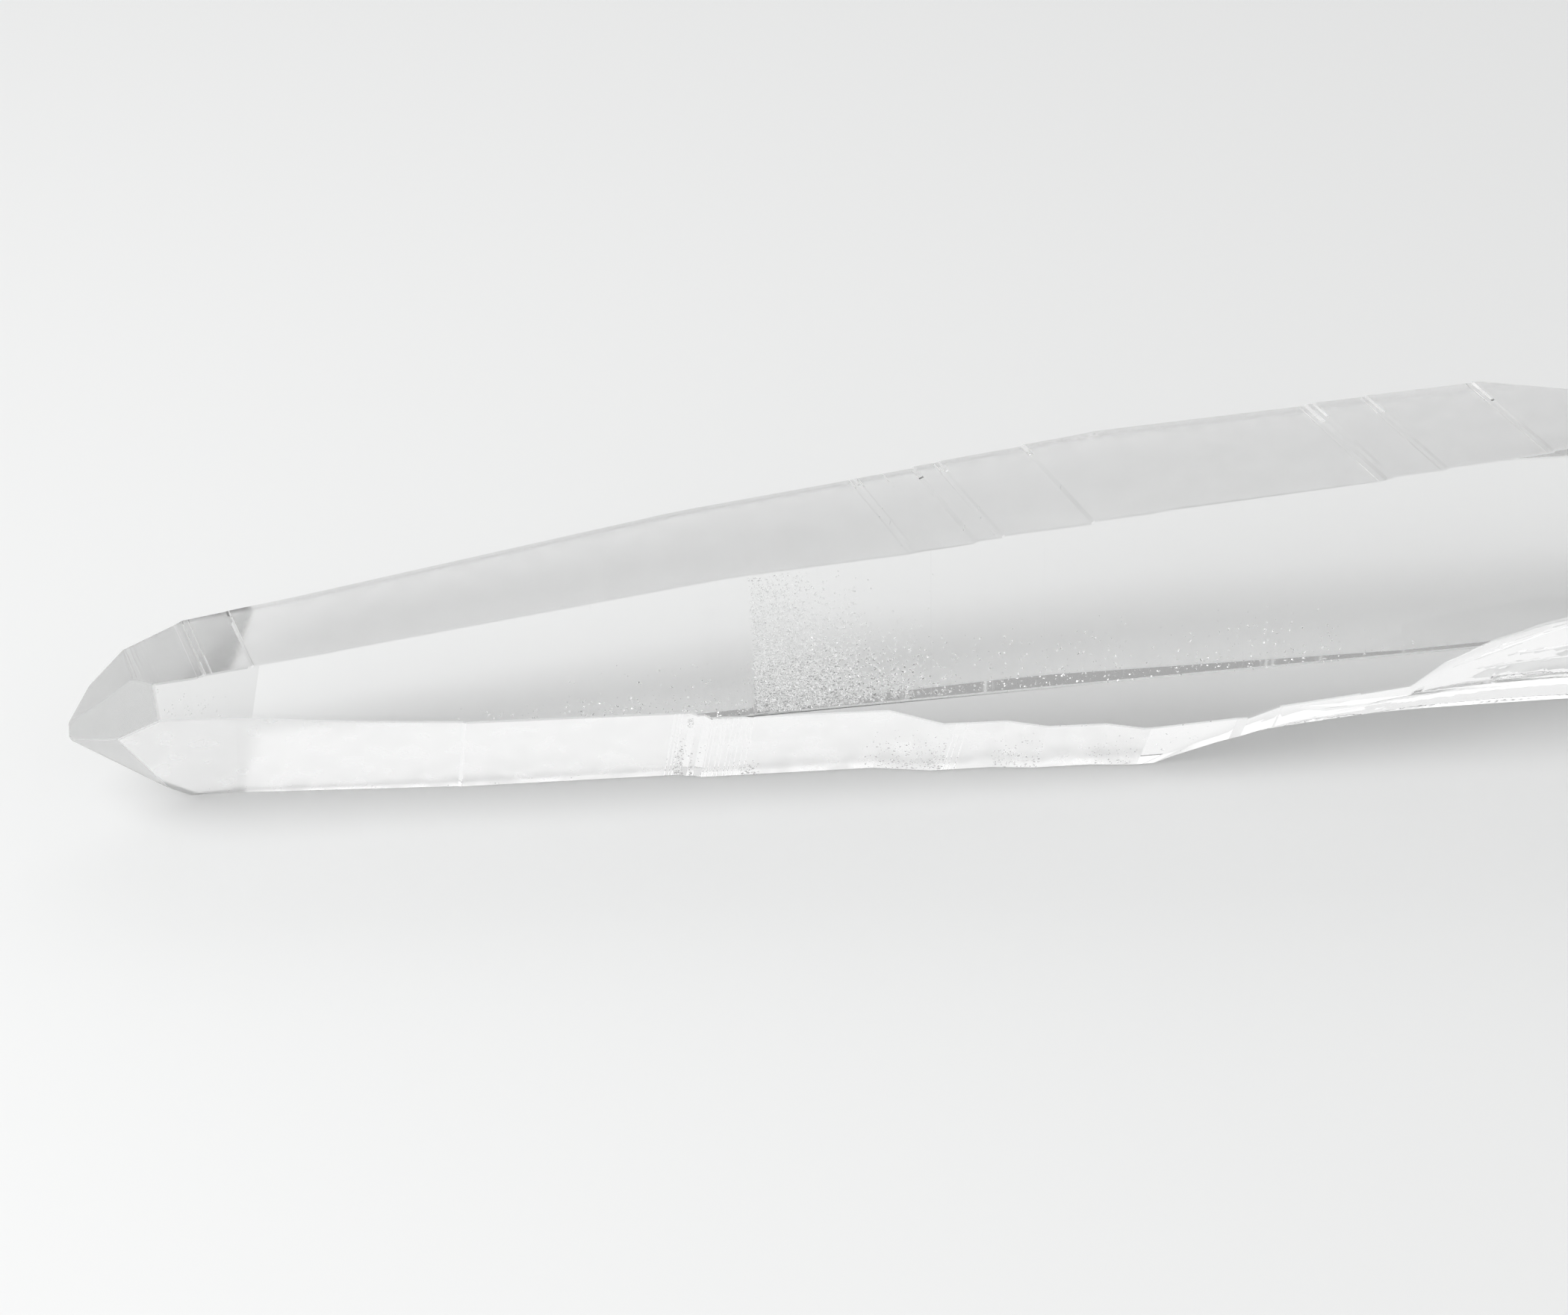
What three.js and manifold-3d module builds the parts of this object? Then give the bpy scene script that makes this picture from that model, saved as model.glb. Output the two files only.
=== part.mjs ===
// A natural quartz crystal of the laser habit: a long six-sided prism that widens from a
// small six-sided pyramid at -X to a curved break at +X, lying on one of its prism faces.
// Growth ladders step across its faces. Millimetres, +X along the crystal, +Z up.

import * as THREE from 'three';
import { mergeVertices } from 'three/addons/utils/BufferGeometryUtils.js';
import Module from 'manifold-3d';

const wasm = await Module();
wasm.setup();

// Places along the crystal are measured from where its lowest face begins, just behind the tip.
// The faces are drawn past the crystal on every side and then cut by one another.
const drawnLength = 142;
const drawnBeyond = 40;

// How far one millimetre across a face shifts its ladder lines along the crystal.
const upperLadderLean = 0.21;
const frontLadderLean = 0.07;
const lowerLadderLean = -0.04;

// Prism faces. turn: where the face looks, in degrees from straight up towards the front.
// reach: its distance from the foot line, where the ladder starts; slope: what that gains per mm.
// ledges: growth steps, each at a place along the crystal, with its rise and its riser's run.
const prismFaces = {
  upper: {
    turn: 0, reach: 13.87, slope: 0.078, lean: upperLadderLean,
    ledges: [
      { at: 0.0, rise: 0.05, run: 0.15 },
      { at: 0.5, rise: 0.05, run: 0.15 },
      { at: 4.4, rise: 0.07, run: 0.2 },
      { at: 27, rise: 1.05, run: 34 },
      { at: 57.5, rise: 0.06, run: 0.2 },
      { at: 62.5, rise: 0.22, run: 0.3 },
      { at: 64.7, rise: 0.12, run: 0.2 },
      { at: 72.0, rise: 0.18, run: 0.3 },
      { at: 77.5, rise: 0.1, run: 2 },
      { at: 95.9, rise: 0.17, run: 0.25 },
      { at: 96.5, rise: 0.1, run: 0.2 },
      { at: 100.9, rise: 0.12, run: 0.2 },
      { at: 109.8, rise: 0.12, run: 0.2 },
    ],
  },
  front: {
    turn: 60, reach: 11.05, slope: 0.02, lean: frontLadderLean,
    ledges: [
      { at: 7, rise: -0.5, run: 12 },
      { at: 44.3, rise: 0.08, run: 0.2 },
      { at: 75, rise: 1.8, run: 60 },
    ],
  },
  lowerFront: {
    turn: 120, reach: -0.08, slope: 0.035, lean: lowerLadderLean,
    ledges: [
      { at: 12, rise: 0.74, run: 17.6 },
      { at: 21, rise: 0.06, run: 0.2 },
      { at: 39.2, rise: 0.2, run: 0.5 },
      { at: 40.3, rise: 0.25, run: 0.6 },
      { at: 57, rise: 0.75, run: 4.5 },
      { at: 66.1, rise: 0.35, run: 3.4 },
      { at: 74.1, rise: 0.3, run: 3.1 },
      { at: 79.8, rise: -0.28, run: 7 },
      { at: 85.5, rise: -0.5, run: 2.6 },
      { at: 94, rise: -0.9, run: 14 },
    ],
  },
  lowest: { turn: 180, reach: 0, slope: 0 },
  lowerRear: {
    turn: 240, reach: 3.8, slope: 0.045, lean: frontLadderLean,
    ledges: [
      { at: 18, rise: 0.7, run: 24 },
      { at: 47, rise: 0.25, run: 9 },
      { at: 60, rise: 0.3, run: 12 },
      { at: 86, rise: -1.5, run: 30 },
    ],
  },
  upperRear: { turn: 300, reach: 10.85, slope: 0.157 },
};

// Flat facets that trim the prism further along, given in the same way.
const trimFaces = {
  upperRearMiddle: { turn: 300, reach: 12.5, slope: 0.115 },
  upperRearFar: { turn: 300, reach: 20.3, slope: 0.012 },
  upperRearCorner: { turn: 335, reach: 43.08, slope: -0.15 },
  frontCorner: { turn: 90, reach: 6.7, slope: 0.0328 },
};

// Pyramid faces at the tip. lean: degrees between the face and the crystal's length;
// apex: where the face would cross the line through the tip. Two of them share the front.
const tipLine = new THREE.Vector3(0, -1, 8);
const tipFaces = {
  upper: { turn: 8.7, lean: 44, apex: -10.17 },
  front: { turn: 63.7, lean: 40.2, apex: -10.1 },
  frontShoulder: { turn: 63.5, lean: 35, apex: -10.93 },
  lowerFront: { turn: 127.4, lean: 20, apex: -12.54 },
  lowest: { turn: 200, lean: 40.5, apex: -9.95 },
  lowerRear: { turn: 247.2, lean: 32.6, apex: -9.04 },
  upperRear: { turn: 302.7, lean: 31.9, apex: -12.68 },
};

// The broken base: shell-shaped scoops, each a round bowl drawn out along the crystal.
// heading turns its length towards the rear and pitch lifts its far end, in degrees.
const scoops = {
  lowerFlank: { centre: [183.7, -42.6, -13.1], radius: 31.5, stretch: 4, heading: -16, pitch: 0 },
  middleFlank: { centre: [116, -19.5, 4.5], radius: 14, stretch: 2.15, heading: 0, pitch: 8 },
  upperFlank: { centre: [122, -22.2, 7.6], radius: 14.8, stretch: 2.17, heading: 0, pitch: 0 },
  base: { centre: [162, -4, 9], radius: 34, stretch: 1, heading: 0, pitch: 0 },
};
const scoopSteps = 56;
// Faint rings run round each scoop.
const ringSpacing = 2.6;
const ringHeight = 0.05;

function outward(turn) {
  const angle = THREE.MathUtils.degToRad(turn);
  return new THREE.Vector3(0, -Math.sin(angle), Math.cos(angle));
}

function toSolid(geometry) {
  geometry.deleteAttribute('normal');
  geometry.deleteAttribute('uv');
  const merged = mergeVertices(geometry, 1e-4);
  return new wasm.Manifold(new wasm.Mesh({
    numProp: 3,
    vertProperties: new Float32Array(merged.attributes.position.array),
    triVerts: new Uint32Array(merged.index.array),
  }));
}

// The stepped outline of a prism face, along the crystal and away from the face.
function ladderProfile(ledges) {
  const start = -drawnBeyond;
  const end = drawnLength + drawnBeyond;
  const depth = -2 * drawnBeyond;
  const profile = new THREE.Shape();
  profile.moveTo(start, depth);
  profile.lineTo(start, 0);
  let height = 0;
  for (const { at, rise, run } of ledges) {
    profile.lineTo(at - run / 2, height);
    height += rise;
    profile.lineTo(at + run / 2, height);
  }
  profile.lineTo(end, height);
  profile.lineTo(end, depth);
  return profile;
}

// Everything on the inner side of a prism face: its outline carried across the face, at the
// slant of its ladder lines, so that each tread and riser stays flat.
function prismSolid({ turn, reach, slope, lean = 0, ledges = [] }) {
  const width = 2 * drawnBeyond;
  const geometry = new THREE.ExtrudeGeometry(ladderProfile(ledges), { depth: width, bevelEnabled: false });
  const out = outward(turn);
  const across = new THREE.Vector3(1, 0, 0).cross(out);
  const place = geometry.attributes.position;
  for (let i = 0; i < place.count; i++) {
    const sideways = place.getZ(i) - width / 2;
    const along = place.getX(i) + lean * sideways;
    const point = new THREE.Vector3(along, 0, 0)
      .addScaledVector(out, place.getY(i) + reach + slope * along)
      .addScaledVector(across, sideways);
    place.setXYZ(i, point.x, point.y, point.z);
  }
  return toSolid(geometry);
}

// Everything on the inner side of a pyramid face.
function tipSolid({ turn, lean, apex }) {
  const size = 8 * drawnBeyond;
  const tilt = THREE.MathUtils.degToRad(lean);
  const normal = outward(turn).multiplyScalar(Math.cos(tilt));
  normal.x = -Math.sin(tilt);
  const geometry = new THREE.BoxGeometry(size, size, size);
  geometry.translate(0, 0, -size / 2);
  geometry.applyQuaternion(new THREE.Quaternion().setFromUnitVectors(new THREE.Vector3(0, 0, 1), normal));
  geometry.translate(apex, tipLine.y, tipLine.z);
  return toSolid(geometry);
}

function scoopSolid({ centre, radius, stretch, heading, pitch }) {
  const outline = [];
  for (let i = 0; i <= scoopSteps; i++) {
    const angle = (Math.PI * i) / scoopSteps;
    const along = radius * stretch * angle;
    const ring = ringHeight * Math.cos((2 * Math.PI * along) / ringSpacing) * Math.sin(angle);
    const bowl = radius + ring;
    outline.push(new THREE.Vector2(bowl * Math.sin(angle), -bowl * Math.cos(angle)));
  }
  outline[0].x = 0;
  outline[scoopSteps].x = 0;
  const geometry = new THREE.LatheGeometry(outline, scoopSteps);
  geometry.rotateZ(Math.PI / 2);
  geometry.scale(stretch, 1, 1);
  geometry.rotateY(-THREE.MathUtils.degToRad(pitch));
  geometry.rotateZ(THREE.MathUtils.degToRad(heading));
  geometry.translate(...centre);
  return toSolid(geometry);
}

function grownCrystal() {
  const prism = [...Object.values(prismFaces), ...Object.values(trimFaces)].map(prismSolid);
  const tip = Object.values(tipFaces).map(tipSolid);
  return [...prism, ...tip].reduce((crystal, face) => crystal.intersect(face));
}

function brokenCrystal() {
  return Object.values(scoops).map(scoopSolid).reduce((crystal, scoop) => crystal.subtract(scoop), grownCrystal());
}

function toGeometry(solid) {
  const mesh = solid.getMesh();
  const geometry = new THREE.BufferGeometry();
  geometry.setAttribute('position', new THREE.BufferAttribute(mesh.vertProperties, 3));
  geometry.setIndex(new THREE.BufferAttribute(mesh.triVerts, 1));
  geometry.computeVertexNormals();
  geometry.computeBoundingBox();
  return geometry;
}

function clearQuartz() {
  return new THREE.MeshStandardMaterial({ color: '#eef0ee', roughness: 0.06, metalness: 0, flatShading: true });
}

const crystal = new THREE.Mesh(toGeometry(brokenCrystal()), clearQuartz());
crystal.name = 'crystal';
const box = crystal.geometry.boundingBox;
const middle = box.getCenter(new THREE.Vector3());
crystal.position.set(-middle.x, -middle.y, -box.min.z);

const group = new THREE.Group();
group.add(crystal);

export default group;
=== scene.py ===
import math
import random

import bmesh
import bpy
from mathutils import Matrix, Vector, kdtree, noise
from mathutils.bvhtree import BVHTree


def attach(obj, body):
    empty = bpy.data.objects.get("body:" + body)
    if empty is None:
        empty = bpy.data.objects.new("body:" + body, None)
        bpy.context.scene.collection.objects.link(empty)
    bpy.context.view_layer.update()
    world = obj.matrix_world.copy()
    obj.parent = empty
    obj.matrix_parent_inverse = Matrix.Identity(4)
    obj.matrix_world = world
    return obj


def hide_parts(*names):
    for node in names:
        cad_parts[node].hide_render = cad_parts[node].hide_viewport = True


# A clear quartz crystal of the laser habit, lying on its lowest prism face.
# Everything is in metres, +X from the tip to the broken base, +Z up.

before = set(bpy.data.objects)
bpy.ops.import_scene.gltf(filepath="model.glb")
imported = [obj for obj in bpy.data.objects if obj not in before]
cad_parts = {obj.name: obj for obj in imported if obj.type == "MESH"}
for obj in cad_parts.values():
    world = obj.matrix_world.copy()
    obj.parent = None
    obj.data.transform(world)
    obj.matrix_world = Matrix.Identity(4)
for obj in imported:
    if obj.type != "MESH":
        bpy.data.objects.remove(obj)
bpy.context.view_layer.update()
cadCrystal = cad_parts["crystal"]
mm = 0.001
# Where the lowest face begins, just behind the tip. Places are given in mm from here.
footStart = Vector((-63.454, -4.094, 0.0)) * mm
middleLine = (-1, 9)  # y and z of a line through the crystal's middle
print("frame loaded")


# Small helpers

def outward(turn):
    # The way a prism face looks: turn is in degrees from straight up towards the front.
    angle = math.radians(turn)
    return Vector((0.0, -math.sin(angle), math.cos(angle)))


def across(turn):
    return Vector((1.0, 0.0, 0.0)).cross(outward(turn))


def fromFoot(point):
    return (point - footStart) / mm


def addSocket(tree, name, kind, inOut="INPUT", default=None):
    socket = tree.interface.new_socket(name=name, in_out=inOut, socket_type=kind)
    if default is not None:
        socket.default_value = default
    return socket


def applyTree(crystal, tree, values):
    # Runs one Geometry Nodes tree on the crystal and keeps the result as its plain mesh.
    modifier = crystal.modifiers.new(tree.name, "NODES")
    modifier.node_group = tree
    for item in tree.interface.items_tree:
        if item.item_type == "SOCKET" and item.in_out == "INPUT" and item.name in values:
            modifier[item.identifier] = values[item.name]
    crystal.update_tag()
    evaluated = crystal.evaluated_get(bpy.context.evaluated_depsgraph_get())
    result = bpy.data.meshes.new_from_object(evaluated)
    crystal.modifiers.remove(modifier)
    spare = crystal.data
    crystal.data = result
    bpy.data.meshes.remove(spare)


def cutAndFinish(tree, given, cutter, out):
    # The common end of the trees: take the cutter off the crystal, realise it, give it its finish.
    nodes, links = tree.nodes, tree.links
    cut = nodes.new("GeometryNodeMeshBoolean")
    cut.operation = "DIFFERENCE"
    cut.solver = "MANIFOLD"
    links.new(given.outputs["Crystal"], cut.inputs["Mesh 1"])
    links.new(cutter, cut.inputs["Mesh 2"])
    whole = nodes.new("GeometryNodeRealizeInstances")
    links.new(cut.outputs["Mesh"], whole.inputs[0])
    finish = nodes.new("GeometryNodeSetMaterial")
    links.new(whole.outputs[0], finish.inputs["Geometry"])
    links.new(given.outputs["Finish"], finish.inputs["Material"])
    links.new(finish.outputs[0], out.inputs[0])


def placeCloud(name, places, values):
    # Loose points that carry what a tree needs to know of each, vectors or numbers.
    mesh = bpy.data.meshes.new(name)
    mesh.from_pydata(places, [], [])
    for label, given in values.items():
        if isinstance(given[0], float):
            mesh.attributes.new(label, "FLOAT", "POINT").data.foreach_set("value", given)
        else:
            flat = [number for vector in given for number in vector]
            mesh.attributes.new(label, "FLOAT_VECTOR", "POINT").data.foreach_set("vector", flat)
    return bpy.data.objects.new(name, mesh)


def report(obj, label):
    # Says whether the mesh is closed, and turned outwards: its volume in cubic mm is positive then.
    bm = bmesh.new()
    bm.from_mesh(obj.data)
    loose = [e for e in bm.edges if not e.is_manifold]
    print(label, "verts", len(bm.verts), "faces", len(bm.faces), "open edges", len(loose),
          "volume", round(bm.calc_volume(signed=True) / mm ** 3, 1))
    bm.free()


def link(obj):
    bpy.context.scene.collection.objects.link(obj)
    return obj


# Broken base, as the solid has it

scoops = {
    "lowerFlank": {
        "centre": (183.7, -42.6, -13.1), "radius": 31.5, "stretch": 4.0, "heading": -16, "pitch": 0,
    },
    "middleFlank": {"centre": (116, -19.5, 4.5), "radius": 14.0, "stretch": 2.15, "heading": 0, "pitch": 8},
    "upperFlank": {"centre": (122, -22.2, 7.6), "radius": 14.8, "stretch": 2.17, "heading": 0, "pitch": 0},
    "base": {"centre": (162, -4, 9), "radius": 34.0, "stretch": 1.0, "heading": 0, "pitch": 0},
}
scoopGap = 0.16  # mm; a point that is nearer than this to a scoop lies on it


def scoopSpace(scoop):
    # From the part's space to a space where the scoop is a round bowl, in millimetres.
    heading = Matrix.Rotation(math.radians(scoop["heading"]), 4, "Z")
    pitch = Matrix.Rotation(-math.radians(scoop["pitch"]), 4, "Y")
    place = Matrix.Translation(Vector(scoop["centre"]) * mm + footStart) @ (heading @ pitch)
    size = Matrix.Diagonal((scoop["stretch"] * mm, mm, mm, 1.0))
    return (place @ size).inverted()


scoopSpaces = {name: scoopSpace(scoop) for name, scoop in scoops.items()}


def scoopAt(point):
    # The scoop whose surface the point lies on, or None on a grown face.
    best, gap = None, scoopGap
    for name, scoop in scoops.items():
        off = abs((scoopSpaces[name] @ point).length - scoop["radius"])
        if off < gap:
            best, gap = name, off
    return best


# Crystal: worn edges

edgeWear = {
    "width": 0.1 * mm,        # worn flat along each main edge
    "sharperThan": 16,        # degrees between two faces that make a main edge
    "lengthwise": 0.75,       # how nearly a main edge of the prism follows the crystal
    "tipEnd": 0.15,           # nearer the tip than this, in mm, every edge counts
    "flatTo": 0.15,           # degrees between triangles of one face
    "weldBefore": 0.0001 * mm,
    "weldAfter": 0.002 * mm,
}


def wornCrystal():
    wear = edgeWear
    mesh = bpy.data.meshes.new("clearCrystal")
    bm = bmesh.new()
    bm.from_mesh(cadCrystal.data)
    bmesh.ops.remove_doubles(bm, verts=bm.verts, dist=wear["weldBefore"])
    bmesh.ops.dissolve_limit(bm, angle_limit=math.radians(wear["flatTo"]), verts=bm.verts, edges=bm.edges)
    worn = []
    for edge in bm.edges:
        if edge.calc_face_angle(0.0) < math.radians(wear["sharperThan"]):
            continue
        if any(scoopAt(face.calc_center_median()) for face in edge.link_faces):
            continue
        along = abs((edge.verts[1].co - edge.verts[0].co).normalized().x)
        middle = fromFoot((edge.verts[0].co + edge.verts[1].co) / 2)
        if along > wear["lengthwise"] or middle.x < wear["tipEnd"]:
            worn.append(edge)
    bmesh.ops.bevel(bm, geom=worn, offset=wear["width"], offset_type="OFFSET", segments=1,
                    profile=0.5, affect="EDGES", clamp_overlap=False, loop_slide=True)
    bmesh.ops.remove_doubles(bm, verts=bm.verts, dist=wear["weldAfter"])
    bmesh.ops.recalc_face_normals(bm, faces=bm.faces)
    if bm.calc_volume(signed=True) < 0:
        bmesh.ops.reverse_faces(bm, faces=bm.faces)
    print("worn edges", len(worn), "closed", all(e.is_manifold for e in bm.edges), "faces", len(bm.faces))
    bm.to_mesh(mesh)
    bm.free()
    return link(bpy.data.objects.new("clearCrystal", mesh))


crystal = wornCrystal()


# Crystal: fine growth lines

faceProbe = {
    "from": 40 * mm,  # how far outside the crystal the rays start
    "step": 0.1,      # mm between two rays across the face
    "steps": 130,     # rays to either side of the middle
    "facing": 0.97,   # how nearly a place looks the way its prism face does
}


def lowerEdge(surface, turn, x):
    # Where a prism face's lower edge lies at this place along the crystal: the middle and the way
    # down that it is measured from, its distance, and the width of the face.
    out, down = outward(turn), across(turn)
    if down.z > 0:
        down = -down
    middle = Vector((x, footStart.y + middleLine[0] * mm, middleLine[1] * mm)) + faceProbe["from"] * out
    seen = []
    for i in range(-faceProbe["steps"], faceProbe["steps"] + 1):
        normal = surface.ray_cast(middle + i * faceProbe["step"] * mm * down, -out)[1]
        if normal is not None and normal.dot(out) > faceProbe["facing"]:
            seen.append(i * faceProbe["step"] * mm)
    return (middle, down, max(seen), max(seen) - min(seen)) if seen else None


# How far one millimetre across a face shifts its lines along the crystal, by the face's turn
ladderLean = {0: 0.21, 60: 0.07, 120: -0.04, 240: 0.07, 300: -0.12}
# Rows of lines, all in mm. turn: which face; at: the first line's place; step: from line to line;
# jitter: how uneven the steps are. A line crosses the whole face, unless its row has a length:
# then it is short, and its lower end lies at most "up" above the face's lower edge.
growthRows = [
    {"turn": 0, "at": -4.2, "count": 6, "step": 0.32, "width": 0.1, "depth": 0.012, "jitter": 0.07},
    {"turn": 0, "at": 0.9, "count": 2, "step": 0.5, "width": 0.16, "depth": 0.04, "jitter": 0.0},
    {"turn": 0, "at": 4.75, "count": 1, "step": 1, "width": 0.16, "depth": 0.04, "jitter": 0.0},
    {"turn": 0, "at": 57.25, "count": 2, "step": 0.7, "width": 0.22, "depth": 0.055, "jitter": 0.0},
    {"turn": 0, "at": 60.1, "count": 1, "step": 1, "width": 0.18, "depth": 0.04, "jitter": 0.0},
    {"turn": 0, "at": 64.45, "count": 1, "step": 1, "width": 0.24, "depth": 0.06, "jitter": 0.0},
    {"turn": 0, "at": 95.55, "count": 2, "step": 0.65, "width": 0.22, "depth": 0.06, "jitter": 0.0},
    {"turn": 0, "at": 100.6, "count": 1, "step": 1, "width": 0.2, "depth": 0.055, "jitter": 0.0},
    {"turn": 0, "at": 109.5, "count": 1, "step": 1, "width": 0.26, "depth": 0.07, "jitter": 0.0},
    {"turn": 60, "at": 43.2, "count": 4, "step": 0.3, "width": 0.12, "depth": 0.02, "jitter": 0.06},
    {"turn": 60, "at": 45.0, "count": 6, "step": 0.55, "width": 0.1, "depth": 0.015, "jitter": 0.2},
    {"turn": 60, "at": 78, "count": 34, "step": 0.95, "width": 0.08, "depth": 0.012, "jitter": 0.8,
     "up": 2.0, "length": 3.4},
    {"turn": 60, "at": 20, "count": 12, "step": 1.9, "width": 0.08, "depth": 0.01, "jitter": 0.9,
     "up": 2.0, "length": 3.0},
    {"turn": 120, "at": 21.5, "count": 1, "step": 1, "width": 0.16, "depth": 0.035, "jitter": 0.0},
    {"turn": 120, "at": 38.1, "count": 3, "step": 0.3, "width": 0.18, "depth": 0.045, "jitter": 0.04},
    {"turn": 120, "at": 41.0, "count": 9, "step": 0.42, "width": 0.11, "depth": 0.02, "jitter": 0.1},
    {"turn": 120, "at": 60.6, "count": 3, "step": 0.5, "width": 0.12, "depth": 0.02, "jitter": 0.1},
    {"turn": 240, "at": 16, "count": 9, "step": 8.9, "width": 0.12, "depth": 0.012, "jitter": 1.6},
    {"turn": 300, "at": 26, "count": 12, "step": 7.4, "width": 0.16, "depth": 0.02, "jitter": 2.2},
]
growthStyle = {
    "wholeLength": 90,     # mm, so that a line that crosses a face hardly tapers on it
    "shortest": 0.4,       # of a short line's length
    "from": 60 * mm,
    "placeSeed": 21,
    "faintest": 0.7,       # of a line's width and depth
    "sizeSeed": 4,
}


def growthLines(surface):
    # Every line lies on the surface by itself, because the faces step and bend between them.
    chance = random.Random(growthStyle["placeSeed"])
    places, turns, sizes = [], [], []
    for row in growthRows:
        out = outward(row["turn"])
        for i in range(row["count"]):
            x = row["at"] + i * row["step"] + chance.uniform(-1, 1) * row["jitter"]
            start = footStart + Vector((x, *middleLine)) * mm + growthStyle["from"] * out
            length = row.get("length", growthStyle["wholeLength"])
            if "length" in row:
                length *= chance.uniform(growthStyle["shortest"], 1.0)
                edge = lowerEdge(surface, row["turn"], start.x)
                if edge is None:
                    continue
                middle, down, lowest = edge[:3]
                start = middle + (lowest - (chance.random() * row["up"] + length / 2) * mm) * down
            place, normal = surface.ray_cast(start, -out)[:2]
            if place is None or normal.dot(out) < faceProbe["facing"] or scoopAt(place):
                continue
            direction = across(row["turn"]) + ladderLean[row["turn"]] * Vector((1.0, 0.0, 0.0))
            direction = (direction - direction.dot(normal) * normal).normalized()
            along = normal.cross(direction)
            places.append(place)
            turns.append(Matrix((along, normal, direction)).transposed().to_euler())
            sizes.append((row["width"] / 2 * mm, row["depth"] * mm, length / 2 * mm))
    return places, turns, sizes


def growthLineTree():
    tree = bpy.data.node_groups.new("growthLines", "GeometryNodeTree")
    addSocket(tree, "Crystal", "NodeSocketGeometry")
    addSocket(tree, "Places", "NodeSocketObject")
    addSocket(tree, "Faintest", "NodeSocketFloat", default=growthStyle["faintest"])
    addSocket(tree, "Seed", "NodeSocketInt", default=0)
    addSocket(tree, "Finish", "NodeSocketMaterial")
    addSocket(tree, "Crystal", "NodeSocketGeometry", "OUTPUT")
    nodes, links = tree.nodes, tree.links
    given = nodes.new("NodeGroupInput")
    out = nodes.new("NodeGroupOutput")

    cloud = nodes.new("GeometryNodeObjectInfo")
    cloud.transform_space = "ORIGINAL"
    links.new(given.outputs["Places"], cloud.inputs["Object"])
    turn = nodes.new("GeometryNodeInputNamedAttribute")
    turn.data_type = "FLOAT_VECTOR"
    turn.inputs["Name"].default_value = "turn"
    size = nodes.new("GeometryNodeInputNamedAttribute")
    size.data_type = "FLOAT_VECTOR"
    size.inputs["Name"].default_value = "size"
    lying = nodes.new("FunctionNodeEulerToRotation")
    links.new(turn.outputs["Attribute"], lying.inputs[0])

    # a long diamond: its lower half cuts a V that tapers to its ends
    groove = nodes.new("GeometryNodeMeshUVSphere")
    groove.inputs["Segments"].default_value = 4
    groove.inputs["Rings"].default_value = 2
    groove.inputs["Radius"].default_value = 1.0
    faint = nodes.new("FunctionNodeRandomValue")  # some lines are fainter than others
    faint.data_type = "FLOAT"
    links.new(given.outputs["Faintest"], faint.inputs[2])
    faint.inputs[3].default_value = 1.0
    links.new(given.outputs["Seed"], faint.inputs["Seed"])
    fading = nodes.new("ShaderNodeCombineXYZ")
    fading.inputs["Z"].default_value = 1.0
    links.new(faint.outputs[1], fading.inputs["X"])
    links.new(faint.outputs[1], fading.inputs["Y"])
    scaled = nodes.new("ShaderNodeVectorMath")
    scaled.operation = "MULTIPLY"
    links.new(size.outputs["Attribute"], scaled.inputs[0])
    links.new(fading.outputs[0], scaled.inputs[1])
    lines = nodes.new("GeometryNodeInstanceOnPoints")
    links.new(cloud.outputs["Geometry"], lines.inputs["Points"])
    links.new(groove.outputs["Mesh"], lines.inputs["Instance"])
    links.new(lying.outputs[0], lines.inputs["Rotation"])
    links.new(scaled.outputs[0], lines.inputs["Scale"])
    cutAndFinish(tree, given, lines.outputs[0], out)
    return tree


def cutGrowthLines(crystal, finish):
    surface = BVHTree.FromObject(crystal, bpy.context.evaluated_depsgraph_get())
    places, turns, sizes = growthLines(surface)
    cloud = link(placeCloud("growthLines", places, {"turn": turns, "size": sizes}))
    applyTree(crystal, growthLineTree(), {"Places": cloud, "Faintest": growthStyle["faintest"],
                                          "Seed": growthStyle["sizeSeed"], "Finish": finish})
    bpy.data.objects.remove(cloud)
    print("growth lines cut,", len(places))


# Crystal: relief of the broken base

breakRelief = {
    "meshSize": 0.6 * mm,
    "calmRim": 0.7 * mm,       # the relief grows from nothing over this distance from the rim
    "rippleHeight": 0.09 * mm,
    "rippleStep": 2.1,         # mm between ripples near where the break began; they widen from there
    "steps": 0.12 * mm,        # uneven lift between neighbouring tongues of the break
    "hackleHeight": 0.07 * mm,
    "widening": 0.035,         # of a ripple step for each mm from where the break began
    "rippleCrest": 1.6,        # higher is sharper
    "wander": (0.16, 2.2),     # of the ripples: waves in a mm, and how far in mm
    "calm": (0.11, (7, 3, 1), 0.45, (0.35, 0.65)),  # where ripples fade: waves in a mm, place, lift, range
    "twist": 0.4,              # how far tongues and hackles turn with the crystal's length
    "tongues": (9, 0.05, 2.0),  # waves round the start, waves in a mm away from it, place
    "tongueLift": 0.8,
    "hackles": (26, 0.12, 9.0),
    "hackleSharp": 7,
    "hackleFrom": 14,          # mm from the start to where hackles are full
    # how much of all this each scoop has: the flank is smoother
    "share": {"lowerFlank": 0.14, "middleFlank": 0.2, "upperFlank": 0.2, "base": 0.8},
    "rounds": 8,               # of splitting, at most
}
# Where each scoop's break began, and where the broken part of the crystal starts, in mm
breakStarts = {
    "lowerFlank": (87.8, -9.8, 4.0), "middleFlank": (97.8, -7.8, 10.0),
    "upperFlank": (104.8, -8.8, 13.0), "base": (124.8, -4.8, 17.0),
}
brokenFrom = 77.0


def isBroken(point):
    return fromFoot(point).x > brokenFrom and scoopAt(point) is not None


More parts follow.
